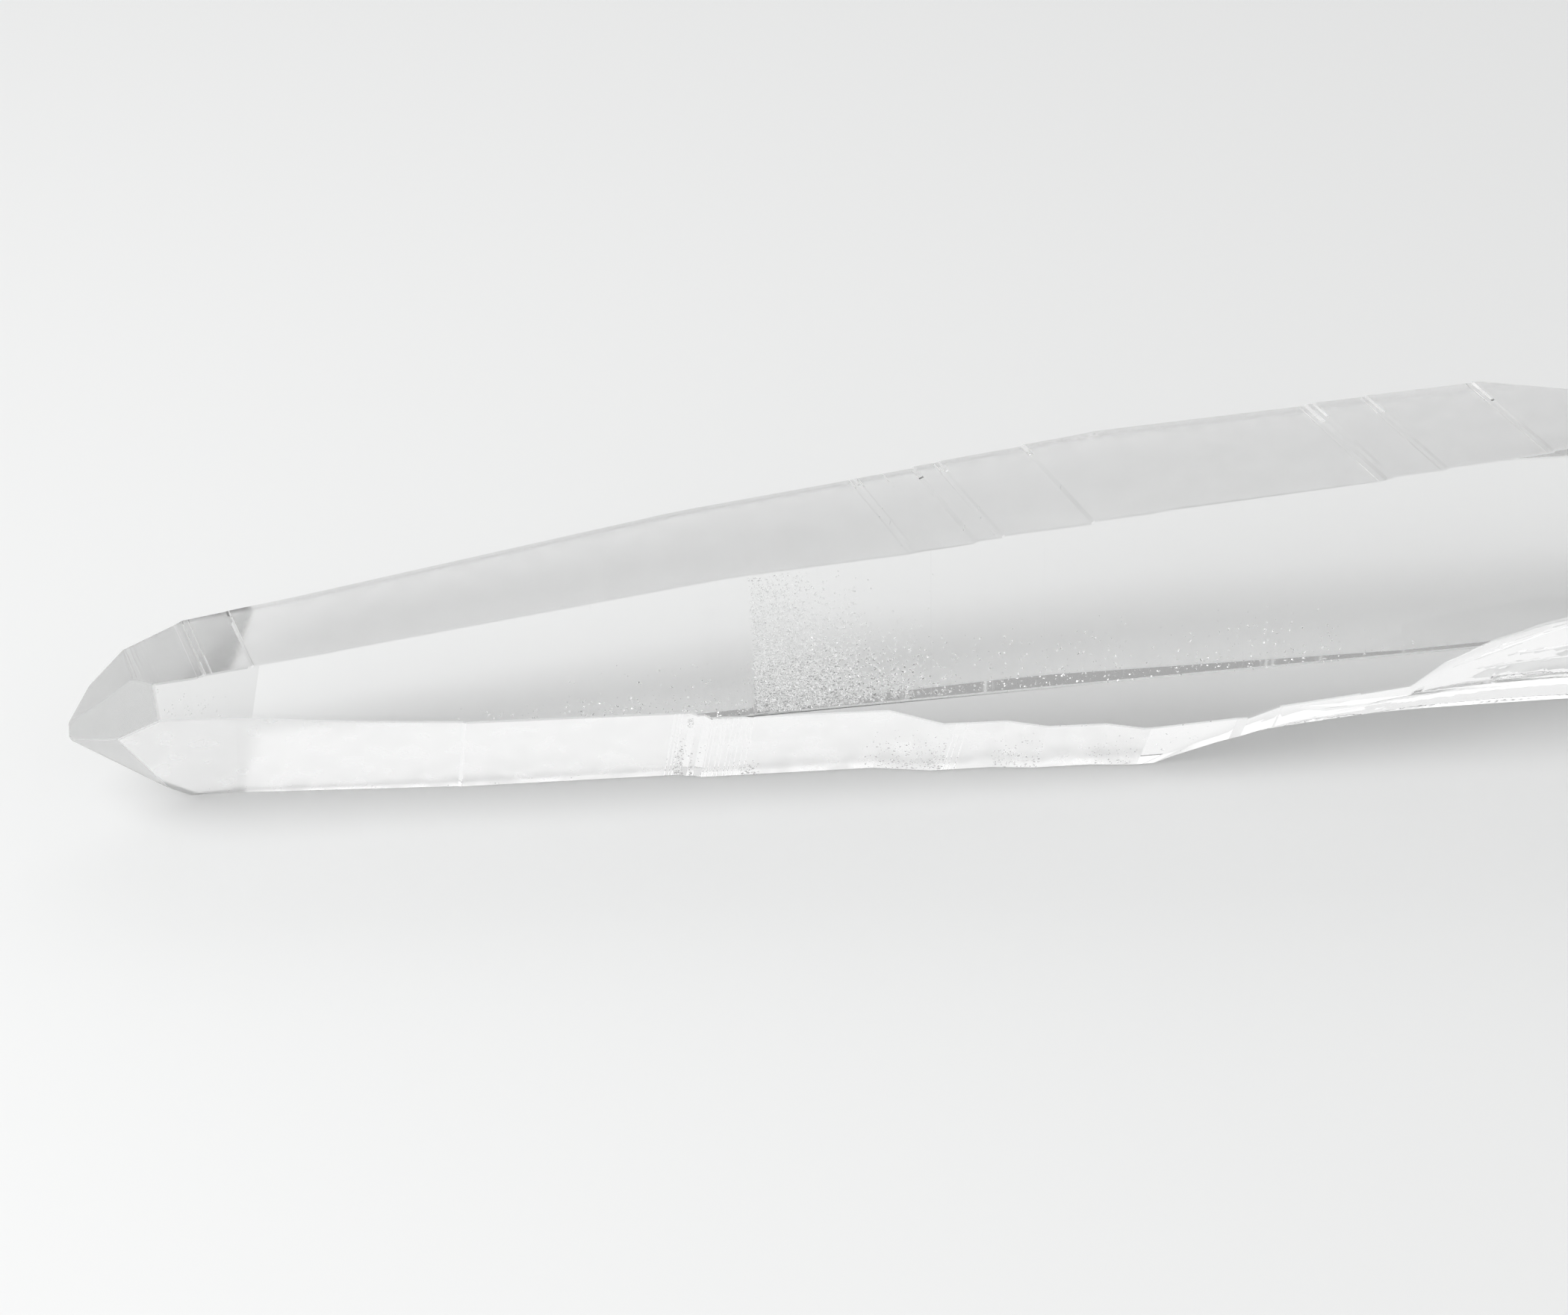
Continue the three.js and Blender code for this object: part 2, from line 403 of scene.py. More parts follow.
def breakLift(name, point):
    # How far the real break lies inside the smooth bowl at this place.
    relief = breakRelief
    away = fromFoot(point) - Vector(breakStarts[name])
    distance = away.length
    waves, far = relief["wander"]
    wander = noise.noise(point / mm * waves) * far
    step = relief["rippleStep"] * (1 + distance * relief["widening"])
    phase = 2 * math.pi * (distance + wander) / step
    ripple = (0.5 + 0.5 * math.sin(phase)) ** relief["rippleCrest"]
    waves, place, raised, (least, more) = relief["calm"]
    ripple *= least + more * max(0.0, noise.noise(point / mm * waves + Vector(place)) + raised)

    angle = math.atan2(away.z, away.y) + math.atan2(away.x, away.y) * relief["twist"]
    around, outwards, place = relief["tongues"]
    tongue = noise.noise(Vector((angle * around, distance * outwards, place)))
    around, outwards, place = relief["hackles"]
    uneven = noise.noise(Vector((angle * around, distance * outwards, place)))
    hackle = max(0.0, 1 - abs(uneven) * relief["hackleSharp"]) * min(1.0, distance / relief["hackleFrom"])

    lift = ripple * relief["rippleHeight"] + (tongue + relief["tongueLift"]) * relief["steps"]
    lift += hackle * relief["hackleHeight"]
    return lift * relief["share"][name]


def splitTriangle(tri, middles):
    # A triangle's parts once some of its edges have a middle vertex.
    split = [middles.get(frozenset((tri[k], tri[(k + 1) % 3]))) for k in range(3)]
    count = sum(m is not None for m in split)
    if count == 0:
        return [tri]
    if count == 3:
        ab, bc, ca = split
        a, b, c = tri
        return [(a, ab, ca), (ab, b, bc), (ca, bc, c), (ab, bc, ca)]
    while split[0] is None or (count == 2 and split[1] is None):
        tri, split = tri[1:] + tri[:1], split[1:] + split[:1]
    a, b, c = tri
    ab, bc = split[0], split[1]
    if count == 1:
        return [(a, ab, c), (ab, b, c)]
    return [(ab, b, bc), (a, ab, bc), (a, bc, c)]


def refineBreak(crystal):
    # Splits the scoops' triangles until they are fine, then lifts them by the break's relief.
    bm = bmesh.new()
    bm.from_mesh(crystal.data)
    bmesh.ops.triangulate(bm, faces=[face for face in bm.faces if isBroken(face.calc_center_median())])
    places = [vert.co.copy() for vert in bm.verts]
    broken, grown = [], []
    for face in bm.faces:
        loop = tuple(vert.index for vert in face.verts)
        (broken if isBroken(face.calc_center_median()) else grown).append(loop)
    bm.free()
    for _ in range(breakRelief["rounds"]):
        middles = {}
        for tri in broken:
            for k in range(3):
                i, j = tri[k], tri[(k + 1) % 3]
                edge = frozenset((i, j))
                if edge not in middles and (places[i] - places[j]).length > breakRelief["meshSize"]:
                    middles[edge] = len(places)
                    places.append((places[i] + places[j]) / 2)
        if not middles:
            break
        broken = [part for tri in broken for part in splitTriangle(tri, middles)]
        longer = []
        for loop in grown:
            points = []
            for k, i in enumerate(loop):
                points.append(i)
                middle = middles.get(frozenset((i, loop[(k + 1) % len(loop)])))
                if middle is not None:
                    points.append(middle)
            longer.append(tuple(points))
        grown = longer
    onGrown = {i for loop in grown for i in loop}
    onBroken = {i for tri in broken for i in tri}
    rim = sorted(onGrown & onBroken)
    near = kdtree.KDTree(len(rim))
    for i in rim:
        near.insert(places[i], i)
    near.balance()
    for i in sorted(onBroken - onGrown):
        name = scoopAt(places[i])
        if name is None:
            continue
        share = min(1.0, near.find(places[i])[2] / breakRelief["calmRim"])
        share = share * share * (3 - 2 * share)
        # in the bowl's own round space, where one unit is about a millimetre
        local = scoopSpaces[name] @ places[i]
        bowl = max(local.length, scoops[name]["radius"])
        depth = bowl - local.length + breakLift(name, places[i]) / mm
        places[i] = scoopSpaces[name].inverted() @ (local.normalized() * (local.length + depth * share))
    mesh = bpy.data.meshes.new("clearCrystal")
    mesh.from_pydata(places, [], grown + broken)
    crystal.data = mesh
    print("break refined,", len(broken), "faces")


# Sharp hackles and steps on the break, drawn where they lie. Each is a groove that tapers to its ends.
hacklePaths = [
    {"points": ((101.7, -8.7, 8.8), (105.2, -7.9, 9.4), (108.3, -7.7, 10.2), (111.1, -7.7, 11.1),
                (115.2, -8.0, 12.6)), "width": 0.55},
    {"points": ((102.5, -8.6, 9.4), (106.3, -8.0, 10.4), (110.0, -7.9, 11.4), (112.8, -8.1, 12.2)),
     "width": 0.25},
    {"points": ((106.9, -7.3, 8.7), (110.3, -6.5, 8.5), (111.9, -6.4, 8.6), (115.8, -6.0, 9.1)),
     "width": 0.4},
    {"points": ((104.2, -7.5, 7.7), (108.2, -6.7, 7.4), (112.2, -6.0, 7.3), (117.8, -5.0, 7.4)),
     "width": 0.22},
    {"points": ((105.8, -6.7, 6.4), (110.2, -5.9, 6.0), (115.2, -4.8, 5.8)), "width": 0.2},
    {"points": ((90.8, -9.4, 5.6), (95.2, -8.8, 6.2), (99.2, -8.5, 7.4)), "width": 0.2},
]
# Hackles that fan out over the large bowl: their angles in degrees, first and how wide the fan is
hackleFan = {
    "count": 17, "first": 100, "fan": 170, "jitter": 0.3, "seed": 5,
    "from": (4.0, 14.0), "length": (4.0, 13.0), "width": (0.12, 0.42), "points": 6,
}
hackleGroove = {
    "steps": 6,        # between two points of a path
    "thinnest": 0.15,  # of the width, at the ends
    "taper": 0.6,
    "lift": 0.15,      # of the width, over the surface
    "widthScale": 0.5,
}


def fanPaths(surface):
    # Paths over the large bowl, away from where its break began.
    fan = hackleFan
    chance = random.Random(fan["seed"])
    start = Vector(breakStarts["base"])
    centre = Vector(scoops["base"]["centre"])
    paths = []
    for i in range(fan["count"]):
        uneven = chance.uniform(-fan["jitter"], fan["jitter"])
        angle = math.radians(fan["first"] + fan["fan"] * (i + uneven) / fan["count"])
        ray = Vector((0.0, -math.cos(angle), -abs(math.sin(angle))))
        first = chance.uniform(*fan["from"])
        length = chance.uniform(*fan["length"])
        width = chance.uniform(*fan["width"])
        points = []
        for k in range(fan["points"]):
            aim = start + (first + length * k / (fan["points"] - 1)) * ray
            place = surface.ray_cast(footStart + centre * mm, (aim - centre).normalized())[0]
            if place is not None and scoopAt(place) == "base":
                points.append(fromFoot(place))
        if len(points) > fan["points"] / 2:
            paths.append({"points": points, "width": width})
    return paths


def hackleLine(path, surface):
    # An open line just over the surface, whose points carry how wide the groove is there.
    corners = [surface.find_nearest(footStart + Vector(point) * mm)[0] for point in path["points"]]
    steps = hackleGroove["steps"] * (len(corners) - 1)
    places, widths = [], []
    for i in range(steps + 1):
        share = i / steps * (len(corners) - 1)
        k = min(int(share), len(corners) - 2)
        place, normal = surface.find_nearest(corners[k].lerp(corners[k + 1], share - k))[:2]
        taper = math.sin(math.pi * i / steps) ** hackleGroove["taper"]
        width = path["width"] * mm * max(hackleGroove["thinnest"], taper)
        places.append(place + hackleGroove["lift"] * width * normal)
        widths.append(width)
    mesh = bpy.data.meshes.new("hackleLine")
    mesh.from_pydata(places, [(i, i + 1) for i in range(steps)], [])
    mesh.attributes.new("width", "FLOAT", "POINT").data.foreach_set("value", widths)
    return bpy.data.objects.new("hackleLine", mesh)


def hackleTree():
    tree = bpy.data.node_groups.new("hackles", "GeometryNodeTree")
    addSocket(tree, "Crystal", "NodeSocketGeometry")
    addSocket(tree, "Line", "NodeSocketObject")
    addSocket(tree, "Width Scale", "NodeSocketFloat", default=hackleGroove["widthScale"])
    addSocket(tree, "Finish", "NodeSocketMaterial")
    addSocket(tree, "Crystal", "NodeSocketGeometry", "OUTPUT")
    nodes, links = tree.nodes, tree.links
    given = nodes.new("NodeGroupInput")
    out = nodes.new("NodeGroupOutput")
    line = nodes.new("GeometryNodeObjectInfo")
    line.transform_space = "ORIGINAL"
    links.new(given.outputs["Line"], line.inputs["Object"])
    width = nodes.new("GeometryNodeInputNamedAttribute")
    width.data_type = "FLOAT"
    width.inputs["Name"].default_value = "width"
    curve = nodes.new("GeometryNodeMeshToCurve")
    links.new(line.outputs["Geometry"], curve.inputs[0])
    section = nodes.new("GeometryNodeCurvePrimitiveCircle")  # three sides
    section.inputs["Resolution"].default_value = 3
    section.inputs["Radius"].default_value = 1.0
    half = nodes.new("ShaderNodeMath")
    half.operation = "MULTIPLY"
    links.new(width.outputs["Attribute"], half.inputs[0])
    links.new(given.outputs["Width Scale"], half.inputs[1])
    swept = nodes.new("GeometryNodeCurveToMesh")
    swept.inputs["Fill Caps"].default_value = True
    links.new(curve.outputs[0], swept.inputs["Curve"])
    links.new(section.outputs["Curve"], swept.inputs["Profile Curve"])
    links.new(half.outputs[0], swept.inputs["Scale"])
    cutAndFinish(tree, given, swept.outputs[0], out)
    return tree


def cutHackles(crystal, finish):
    surface = BVHTree.FromObject(crystal, bpy.context.evaluated_depsgraph_get())
    tree = hackleTree()
    paths = hacklePaths + fanPaths(surface)
    for path in paths:
        line = link(hackleLine(path, surface))
        applyTree(crystal, tree, {"Line": line, "Width Scale": hackleGroove["widthScale"], "Finish": finish})
        bpy.data.objects.remove(line)
    print("hackles cut,", len(paths))


# Crystal: etched pits that sparkle

# Patches of pits, all in mm. turn: which face; from and to: the stretch of it; reach: how far above
# its lower edge they still occur; crowd: how many are tried; size: the half width of a middling one;
# fade: how fast the patch thins out towards the base, or towards the tip where it is negative;
# sink: how fast it thins out upwards.
pitPatches = [
    {"turn": 60, "from": 44.7, "to": 64.0, "reach": 12.0, "crowd": 5200, "size": 0.12, "fade": 3.2,
     "sink": 2.4},
    {"turn": 60, "from": 44.7, "to": 54.0, "reach": 15.0, "crowd": 2400, "size": 0.09, "fade": 2.2,
     "sink": 0.8},
    {"turn": 60, "from": 44.7, "to": 108.0, "reach": 1.4, "crowd": 240, "size": 0.075, "fade": 1.2,
     "sink": 0.8},
    {"turn": 60, "from": 20.5, "to": 44.0, "reach": 1.6, "crowd": 130, "size": 0.08, "fade": -0.6},
    {"turn": 60, "from": -3.0, "to": 4.5, "reach": 3.2, "crowd": 60, "size": 0.08, "fade": 0.5},
    {"turn": 120, "from": 38.4, "to": 39.9, "reach": 7.0, "crowd": 190, "size": 0.09, "fade": 0.0},
    {"turn": 120, "from": 43.8, "to": 45.4, "reach": 2.6, "crowd": 70, "size": 0.09, "fade": 0.0},
    {"turn": 120, "from": 53.5, "to": 60.4, "reach": 7.0, "crowd": 240, "size": 0.09, "fade": -0.8},
    {"turn": 120, "from": 64.2, "to": 68.2, "reach": 7.0, "crowd": 120, "size": 0.08, "fade": 0.0},
    {"turn": 120, "from": 72.0, "to": 76.0, "reach": 6.0, "crowd": 70, "size": 0.08, "fade": 0.0},
    {"turn": 120, "from": 0.0, "to": 38.0, "reach": 2.0, "crowd": 30, "size": 0.06, "fade": 0.0},
    {"turn": 240, "from": 30.0, "to": 96.0, "reach": 5.0, "crowd": 420, "size": 0.11, "fade": 0.0},
    {"turn": 300, "from": 70.0, "to": 84.0, "reach": 6.0, "crowd": 260, "size": 0.12, "fade": 0.8},
]
pitStyle = {
    "placeSeed": 11,
    "sink": 1.2,               # of a patch that doesn't say
    "sizes": (0.45, 1.25),     # of the patch's size
    "shrink": (1.15, 0.4),     # size at the lower edge, and how much of it is lost up to the reach
    "overEdge": 0.06,          # mm that the lowest pits lie past the edge
    "underTop": 0.2,           # mm below the face's upper edge that stay free
    "columns": 2,              # places in a mm where the face's lower edge is looked up
    "facing": 0.9,
    "sides": 4,
    "depth": 0.5,              # of the pit's half width
    "turnSeed": 3,
    "tilt": 0.16,              # radians that a pit leans at most
    "fullTurn": 6.28,
    "stretchLow": (0.6, 0.6, 0.6),
    "stretchHigh": (1.5, 1.1, 1.2),
}


def thinningOut(chance, fade):
    # A share of the way, where higher ones get rarer the greater the fade is.
    return 1 - (1 - chance.random()) ** (1 / (1 + fade))


def pitPlaces(surface):
    style = pitStyle
    chance = random.Random(style["placeSeed"])
    places, normals, sizes = [], [], []
    for patch in pitPatches:
        steps = {}
        out = outward(patch["turn"])
        for _ in range(patch["crowd"]):
            share = thinningOut(chance, abs(patch["fade"]))
            if patch["fade"] < 0:
                share = 1 - share
            x = footStart.x + (patch["from"] + share * (patch["to"] - patch["from"])) * mm
            step = round(x / mm * style["columns"])
            if step not in steps:
                steps[step] = lowerEdge(surface, patch["turn"], x)
            height = thinningOut(chance, patch.get("sink", style["sink"])) * patch["reach"] * mm
            size = patch["size"] * chance.uniform(*style["sizes"]) * mm
            if steps[step] is None:
                continue
            middle, down, edge, width = steps[step]
            if height > width - style["underTop"] * mm:
                continue
            start = Vector((x, middle.y, middle.z)) + (edge - style["overEdge"] * mm - height) * down
            place, normal = surface.ray_cast(start, -out)[:2]
            if place is None or normal.dot(out) < style["facing"] or scoopAt(place):
                continue
            places.append(place)
            normals.append(normal)
            most, lost = style["shrink"]
            sizes.append(size * (most - lost * height / (patch["reach"] * mm)))
    return places, normals, sizes


def etchPitTree():
    tree = bpy.data.node_groups.new("etchPits", "GeometryNodeTree")
    addSocket(tree, "Crystal", "NodeSocketGeometry")
    addSocket(tree, "Places", "NodeSocketObject")
    addSocket(tree, "Sides", "NodeSocketInt", default=pitStyle["sides"])
    addSocket(tree, "Pit Depth", "NodeSocketFloat", default=pitStyle["depth"])
    addSocket(tree, "Seed", "NodeSocketInt", default=0)
    addSocket(tree, "Finish", "NodeSocketMaterial")
    addSocket(tree, "Crystal", "NodeSocketGeometry", "OUTPUT")
    nodes, links = tree.nodes, tree.links
    given = nodes.new("NodeGroupInput")
    out = nodes.new("NodeGroupOutput")

    cloud = nodes.new("GeometryNodeObjectInfo")
    cloud.transform_space = "ORIGINAL"
    links.new(given.outputs["Places"], cloud.inputs["Object"])
    facing = nodes.new("GeometryNodeInputNamedAttribute")
    facing.data_type = "FLOAT_VECTOR"
    facing.inputs["Name"].default_value = "facing"
    size = nodes.new("GeometryNodeInputNamedAttribute")
    size.data_type = "FLOAT"
    size.inputs["Name"].default_value = "size"

    # an upside-down pyramid that is 1 in radius where it meets the face, with its point in the crystal
    drawn = 1.6
    cone = nodes.new("GeometryNodeMeshCone")
    cone.inputs["Radius Top"].default_value = drawn
    cone.inputs["Radius Bottom"].default_value = 0.0
    cone.inputs["Depth"].default_value = drawn
    links.new(given.outputs["Sides"], cone.inputs["Vertices"])
    sunk = nodes.new("GeometryNodeTransform")
    sunk.inputs["Translation"].default_value = (0, 0, -1.0)
    links.new(cone.outputs["Mesh"], sunk.inputs["Geometry"])
    flat = nodes.new("ShaderNodeCombineXYZ")
    flat.inputs["X"].default_value = 1.0
    flat.inputs["Y"].default_value = 1.0
    links.new(given.outputs["Pit Depth"], flat.inputs["Z"])
    shaped = nodes.new("GeometryNodeTransform")
    links.new(sunk.outputs[0], shaped.inputs["Geometry"])
    links.new(flat.outputs[0], shaped.inputs["Scale"])

    aim = nodes.new("FunctionNodeAlignRotationToVector")
    aim.axis = "Z"
    links.new(facing.outputs["Attribute"], aim.inputs["Vector"])
    spin = nodes.new("FunctionNodeRandomValue")
    spin.data_type = "FLOAT_VECTOR"
    spin.inputs[0].default_value = (-pitStyle["tilt"], -pitStyle["tilt"], 0.0)
    spin.inputs[1].default_value = (pitStyle["tilt"], pitStyle["tilt"], pitStyle["fullTurn"])
    links.new(given.outputs["Seed"], spin.inputs["Seed"])
    spinTurn = nodes.new("FunctionNodeEulerToRotation")
    links.new(spin.outputs[0], spinTurn.inputs[0])
    turned = nodes.new("FunctionNodeRotateRotation")
    turned.rotation_space = "LOCAL"
    links.new(aim.outputs[0], turned.inputs[0])
    links.new(spinTurn.outputs[0], turned.inputs[1])
    uneven = nodes.new("FunctionNodeRandomValue")
    uneven.data_type = "FLOAT_VECTOR"
    uneven.inputs[0].default_value = pitStyle["stretchLow"]
    uneven.inputs[1].default_value = pitStyle["stretchHigh"]
    links.new(given.outputs["Seed"], uneven.inputs["Seed"])
    scaled = nodes.new("ShaderNodeVectorMath")
    scaled.operation = "SCALE"
    links.new(uneven.outputs[0], scaled.inputs[0])
    links.new(size.outputs[0], scaled.inputs["Scale"])

    pits = nodes.new("GeometryNodeInstanceOnPoints")
    links.new(cloud.outputs["Geometry"], pits.inputs["Points"])
    links.new(shaped.outputs[0], pits.inputs["Instance"])
    links.new(turned.outputs[0], pits.inputs["Rotation"])
    links.new(scaled.outputs[0], pits.inputs["Scale"])
    cutAndFinish(tree, given, pits.outputs[0], out)
    return tree


def cutPits(crystal, finish):
    surface = BVHTree.FromObject(crystal, bpy.context.evaluated_depsgraph_get())
    places, normals, sizes = pitPlaces(surface)
    print("pits", len(places))
    tree = etchPitTree()
    cloud = link(placeCloud("pitPlaces", places, {"facing": normals, "size": sizes}))
    applyTree(crystal, tree, {"Places": cloud, "Sides": pitStyle["sides"], "Pit Depth": pitStyle["depth"],
                              "Seed": pitStyle["turnSeed"], "Finish": finish})
    bpy.data.objects.remove(cloud)


# Finish

quartzLook = {
    "clear": 0.02,         # roughness of the clear faces
    "topSatin": 0.2,       # what the growth texture adds on the highest face
    "lowSatin": 0.3,       # and on the milky lower front face
    "tipSatin": 0.22,      # on the pyramid faces
    "cornerSatin": 0.6,    # on the narrow white facet between the two front faces
    "rearSatin": 0.05,
    "veil": 0.34,          # etched veil on the front face, beside its ladder line
    "veilStart": (45.1, 45.3),    # where it sets in along the crystal, in mm
    "veilEnd": (46.2, 59.0),      # where it thins out along the crystal
    "veilTop": (8.0, 19.0, 0.3),  # where it thins out upwards, in mm, and what is left up there
    "veilLean": 0.085,
    "patchGrain": 0.45,    # patches in a mm
    "patchLow": 0.3,
    "veilPatch": 0.62,
    "satinPatch": (0.7, 0.8, 1.15),
    "pebbleGrain": 2.2,    # pebbles in a mm, and how high they are in mm
    "topPebbles": 0.0035,
    "lowPebbles": 0.0015,
    "veilPebbles": 0.02,
    "streakGrain": 1.8,    # streaks along the highest face
    "streakLength": (0.08, 1, 1),
    "streaks": 0.0025,
    "ior": 1.544,
    "tint": (0.955, 0.965, 0.955, 1),
    "tintDensity": 6.0,
}
# The kinds of face that have a finish of their own, and which way they look
faceKinds = {
    "topFace": (0,), "frontFace": (60,), "cornerFace": (90,), "lowFace": (120,), "rearFace": (240, 300),
}
faceLimits = {
    "facing": 0.975,    # how nearly a face looks the way of its kind
    "tipFacing": -0.3,  # the pyramid faces look more towards the tip than this
    "prismFrom": 4,     # mm that the kinds reach past the start of the prism, to the tip
}


def clearQuartz():
    look = quartzLook
    material = bpy.data.materials.new("clearQuartz")
    material.use_nodes = True
    nodes, links = material.node_tree.nodes, material.node_tree.links
    shader = nodes["Principled BSDF"]
    shader.inputs["Transmission Weight"].default_value = 1.0
    shader.inputs["IOR"].default_value = look["ior"]
    shader.inputs["Base Color"].default_value = (1, 1, 1, 1)

    def maths(operation, first, second):
        node = nodes.new("ShaderNodeMath")
        node.operation = operation
        for socket, value in zip(node.inputs, (first, second)):
            if isinstance(value, (int, float)):
                socket.default_value = value
            else:
                links.new(value, socket)
        return node.outputs[0]

    def faceKind(name):
        node = nodes.new("ShaderNodeAttribute")
        node.attribute_name = name
        return node.outputs["Fac"]

    def spread(value, low, high, to=(0.0, 1.0)):
        node = nodes.new("ShaderNodeMapRange")
        node.interpolation_type = "SMOOTHSTEP"
        node.inputs["From Min"].default_value = low
        node.inputs["From Max"].default_value = high
        node.inputs["To Min"].default_value = to[0]
        node.inputs["To Max"].default_value = to[1]
        links.new(value, node.inputs["Value"])
        return node.outputs[0]

    where = nodes.new("ShaderNodeTexCoord").outputs["Object"]
    metre = 1000  # mm

    def grain(scale, detail, stretch=(1, 1, 1)):
        # Noise in millimetres: scale is how many grains there are in a millimetre.
        place = nodes.new("ShaderNodeMapping")
        place.inputs["Scale"].default_value = [metre * k for k in stretch]
        links.new(where, place.inputs["Vector"])
        node = nodes.new("ShaderNodeTexNoise")
        node.inputs["Scale"].default_value = scale
        node.inputs["Detail"].default_value = detail
        links.new(place.outputs[0], node.inputs["Vector"])
        return node.outputs["Fac"]

    parts = nodes.new("ShaderNodeSeparateXYZ")
    links.new(where, parts.inputs[0])
    along = maths("SUBTRACT", maths("MULTIPLY", parts.outputs["X"], metre), footStart.x / mm)
    height = maths("MULTIPLY", parts.outputs["Z"], metre)
    top, front, corner, low, rear, tip = (faceKind(name) for name in (*faceKinds, "tipFace"))

    # the veil starts sharply at the ladder line and thins out towards the base and upwards
    patchy = grain(look["patchGrain"], 1.0)
    slant = maths("ADD", along, maths("MULTIPLY", height, look["veilLean"]))
    begin = spread(slant, *look["veilStart"])
    fade = spread(along, *look["veilEnd"], (1.0, 0.0))
    fadesFrom, fadesTo, remains = look["veilTop"]
    sink = spread(height, fadesFrom, fadesTo, (1.0, remains))
    thick = maths("MULTIPLY", spread(patchy, look["patchLow"], look["veilPatch"]), front)
    veil = maths("MULTIPLY", maths("MULTIPLY", begin, fade), maths("MULTIPLY", sink, thick))

    satin = maths("ADD", maths("MULTIPLY", top, look["topSatin"]), maths("MULTIPLY", low, look["lowSatin"]))
    patchHigh, least, most = look["satinPatch"]
    rough = maths("MULTIPLY", satin, spread(patchy, look["patchLow"], patchHigh, (least, most)))
    finishes = ((rear, "rearSatin"), (corner, "cornerSatin"), (tip, "tipSatin"), (veil, "veil"))
    for share, name in finishes:
        rough = maths("ADD", rough, maths("MULTIPLY", share, look[name]))
    rough = maths("ADD", rough, look["clear"])
    links.new(rough, shader.inputs["Roughness"])

    # relief: pebbled satin, and streaks along the highest face
    topPebbles = maths("MULTIPLY", top, look["topPebbles"])
    lowPebbles = maths("MULTIPLY", low, look["lowPebbles"])
    veilPebbles = maths("MULTIPLY", veil, look["veilPebbles"])
    pebbled = maths("ADD", maths("ADD", topPebbles, lowPebbles), veilPebbles)
    pebbles = maths("MULTIPLY", grain(look["pebbleGrain"], 1.0), pebbled)
    streaked = maths("MULTIPLY", top, look["streaks"])
    streaks = maths("MULTIPLY", grain(look["streakGrain"], 0.0, look["streakLength"]), streaked)
    relief = maths("ADD", pebbles, streaks)
    bump = nodes.new("ShaderNodeBump")
    bump.inputs["Strength"].default_value = 1.0
    bump.inputs["Distance"].default_value = mm
    links.new(relief, bump.inputs["Height"])
    links.new(bump.outputs[0], shader.inputs["Normal"])

    body = nodes.new("ShaderNodeVolumeAbsorption")
    body.inputs["Color"].default_value = look["tint"]
    body.inputs["Density"].default_value = look["tintDensity"]
    links.new(body.outputs[0], nodes["Material Output"].inputs["Volume"])
    return material


def markFaces(crystal):
    # Names each face's kind for the finish, and shades only the broken ones smooth.
    mesh = crystal.data
    kinds = {name: [0.0] * len(mesh.polygons) for name in (*faceKinds, "tipFace")}
    smooth = [False] * len(mesh.polygons)
    for i, face in enumerate(mesh.polygons):
        if isBroken(face.center):
            smooth[i] = True
        elif face.normal.x < faceLimits["tipFacing"] and fromFoot(face.center).x < edgeWear["tipEnd"]:
            kinds["tipFace"][i] = 1.0
        elif fromFoot(face.center).x > edgeWear["tipEnd"] - faceLimits["prismFrom"]:
            for name, turns in faceKinds.items():
                if any(face.normal.dot(outward(turn)) > faceLimits["facing"] for turn in turns):
                    kinds[name][i] = 1.0
    for name, values in kinds.items():
        mesh.attributes.new(name, "FLOAT", "FACE").data.foreach_set("value", values)
    mesh.polygons.foreach_set("use_smooth", smooth)


quartz = clearQuartz()
refineBreak(crystal)
report(crystal, "refined")
cutHackles(crystal, quartz)
report(crystal, "hackled")
cutGrowthLines(crystal, quartz)
report(crystal, "grooved")
cutPits(crystal, quartz)
markFaces(crystal)
report(crystal, "pitted")
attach(crystal, "root")
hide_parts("crystal")


# Studio

studio = {
    "floorSize": 4.0,
    "floorGap": 0.1 * mm,     # the floor lies this far under the crystal, so the two never share a plane
    "floorColour": (0.84, 0.845, 0.843),
    "floorRoughness": 0.85,
    "floorSheen": 0.1,
    "floorSides": 96,
    "skyLow": 0.98,           # backdrop all round
    "skyHigh": 0.38,          # ceiling of the studio
    "skyFrom": 0.42,          # height, as a share of straight up, where the backdrop begins to darken
    "skyTo": 0.95,
    "keyPower": 1.2,
    "keyPlace": (-0.3, -0.14, 0.36),
    "keySize": (0.35, 0.35),
    "rearPower": 0.08,        # faint, so that the ladder lines catch the light
    "rearPlace": (0.02, 0.3, 0.24),
    "rearSize": (0.4, 0.12),
}


def studioFloor():
    bm = bmesh.new()
    bmesh.ops.create_circle(bm, cap_ends=True, segments=studio["floorSides"], radius=studio["floorSize"] / 2)
    bmesh.ops.translate(bm, verts=bm.verts, vec=(0, 0, -studio["floorGap"]))
    mesh = bpy.data.meshes.new("studioFloor")
    bm.to_mesh(mesh)
    bm.free()
    material = bpy.data.materials.new("paleFloor")
    material.use_nodes = True
    shader = material.node_tree.nodes["Principled BSDF"]
    shader.inputs["Base Color"].default_value = (*studio["floorColour"], 1)
    shader.inputs["Roughness"].default_value = studio["floorRoughness"]
    shader.inputs["Specular IOR Level"].default_value = studio["floorSheen"]
    mesh.materials.append(material)
    floor = link(bpy.data.objects.new("studioFloor", mesh))


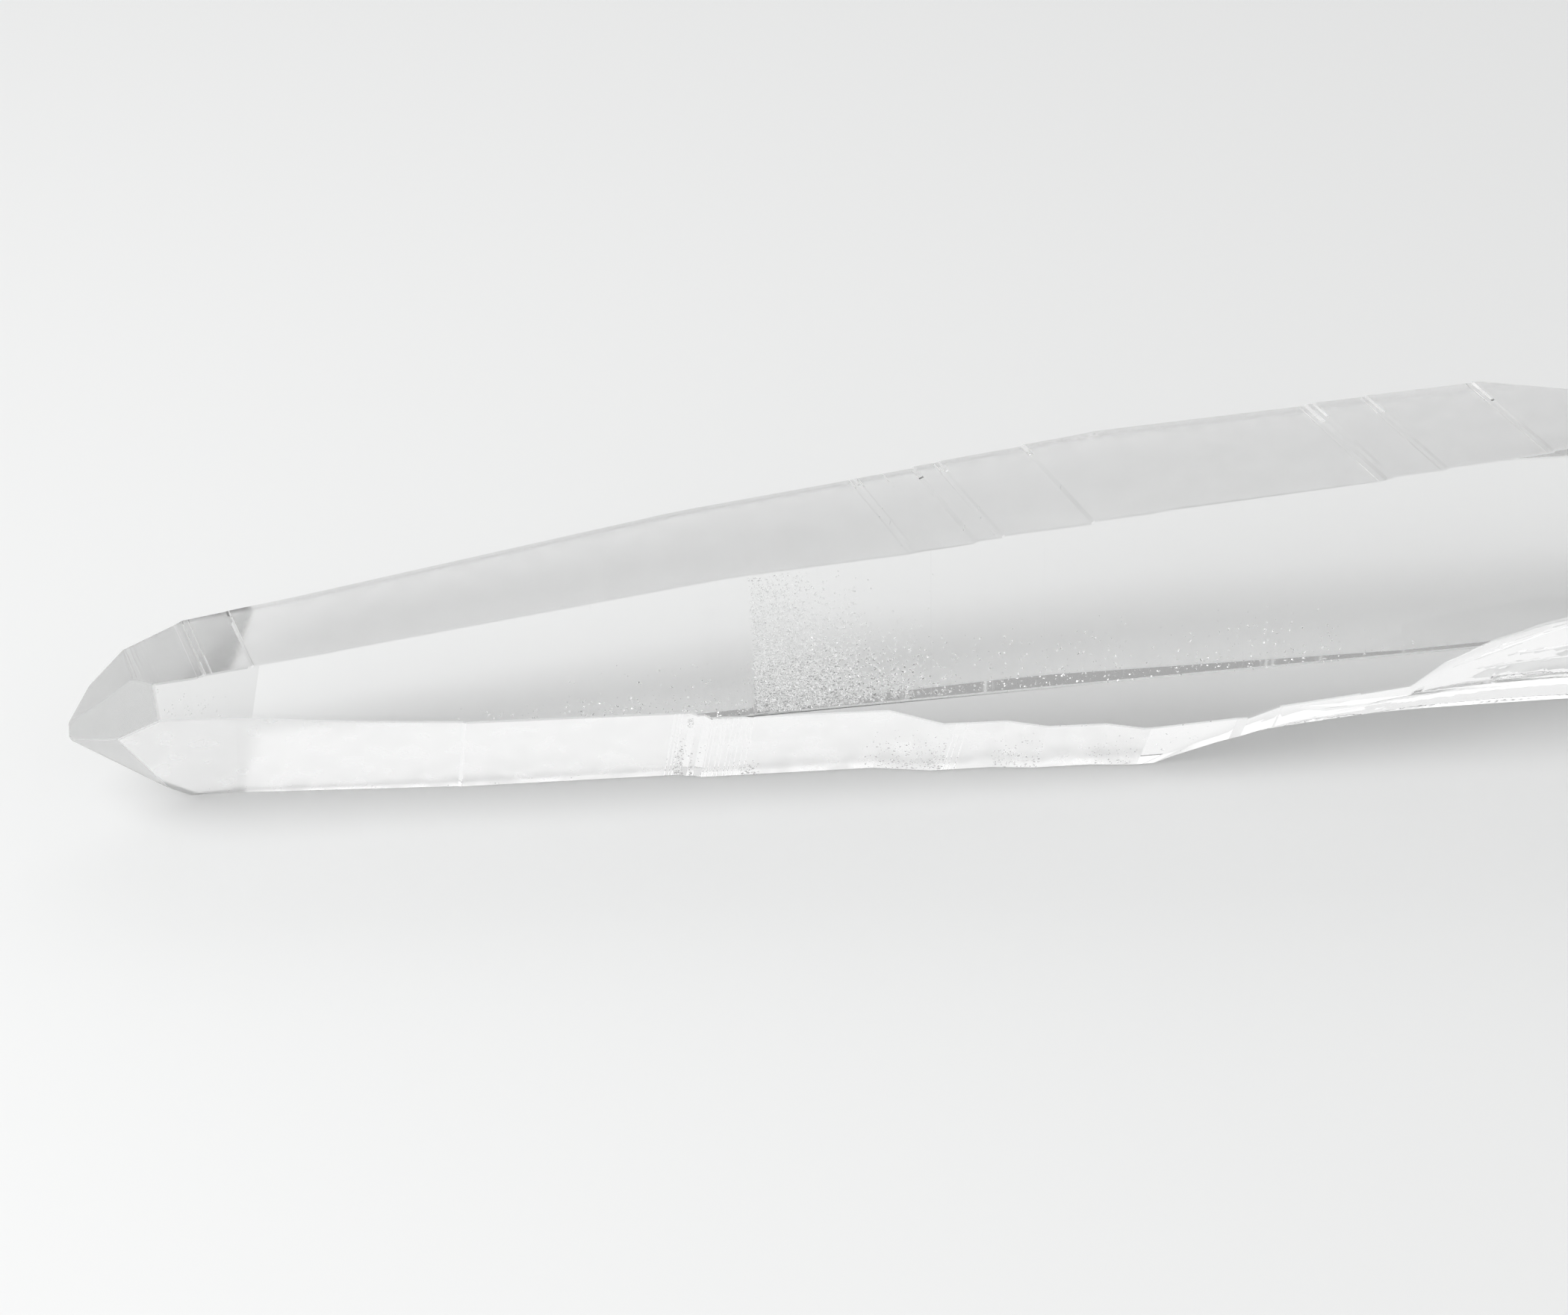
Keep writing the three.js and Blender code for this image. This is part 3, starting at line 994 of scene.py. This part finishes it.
def studioSky():
    world = bpy.data.worlds.new("studioSky")
    bpy.context.scene.world = world
    world.use_nodes = True
    nodes, links = world.node_tree.nodes, world.node_tree.links
    background = nodes["Background"]
    where = nodes.new("ShaderNodeTexCoord")
    split = nodes.new("ShaderNodeSeparateXYZ")
    height = nodes.new("ShaderNodeMapRange")
    height.interpolation_type = "SMOOTHSTEP"
    height.inputs["From Min"].default_value = studio["skyFrom"]
    height.inputs["From Max"].default_value = studio["skyTo"]
    height.inputs["To Min"].default_value = studio["skyLow"]
    height.inputs["To Max"].default_value = studio["skyHigh"]
    links.new(where.outputs["Generated"], split.inputs[0])
    links.new(split.outputs["Z"], height.inputs["Value"])
    links.new(height.outputs[0], background.inputs["Color"])


def softbox(name, place, size, power):
    light = bpy.data.lights.new(name, "AREA")
    light.shape = "RECTANGLE"
    light.size, light.size_y = size
    light.energy = power
    lamp = link(bpy.data.objects.new(name, light))
    lamp.location = place
    lamp.rotation_mode = "QUATERNION"
    lamp.rotation_quaternion = (-Vector(place)).to_track_quat("-Z", "Y")  # at the crystal


studioFloor()
studioSky()
softbox("keySoftbox", studio["keyPlace"], studio["keySize"], studio["keyPower"])
softbox("rearSoftbox", studio["rearPlace"], studio["rearSize"], studio["rearPower"])
bpy.context.scene.view_settings.view_transform = "Standard"
print("studio made")


# Camera

view = {
    "azimuth": -8,       # degrees round from the front, and up from level
    "elevation": 31,
    "place": (-0.05145, -0.26005, 0.16437),
    "lens": 84.99,       # mm, on a sensor this wide
    "sensor": 36,
    "sees": (0.01, 20),  # from and to, in metres
}


def photoCamera():
    data = bpy.data.cameras.new("photoCamera")
    data.sensor_fit = "HORIZONTAL"
    data.sensor_width = view["sensor"]
    data.lens = view["lens"]
    data.clip_start, data.clip_end = view["sees"]
    camera = link(bpy.data.objects.new("photoCamera", data))
    turn, rise = math.radians(view["azimuth"]), math.radians(view["elevation"])
    back = Vector((math.sin(turn) * math.cos(rise), -math.cos(turn) * math.cos(rise), math.sin(rise)))
    camera.location = view["place"]
    camera.rotation_mode = "QUATERNION"
    camera.rotation_quaternion = (-back).to_track_quat("-Z", "Y")
    bpy.context.scene.camera = camera


photoCamera()

# Light may bounce often inside the crystal before it comes out again.
bounces = {"all": 10, "glossy": 6, "transmission": 10}
cycles = bpy.context.scene.cycles
cycles.max_bounces = bounces["all"]
cycles.glossy_bounces = bounces["glossy"]
cycles.transmission_bounces = bounces["transmission"]
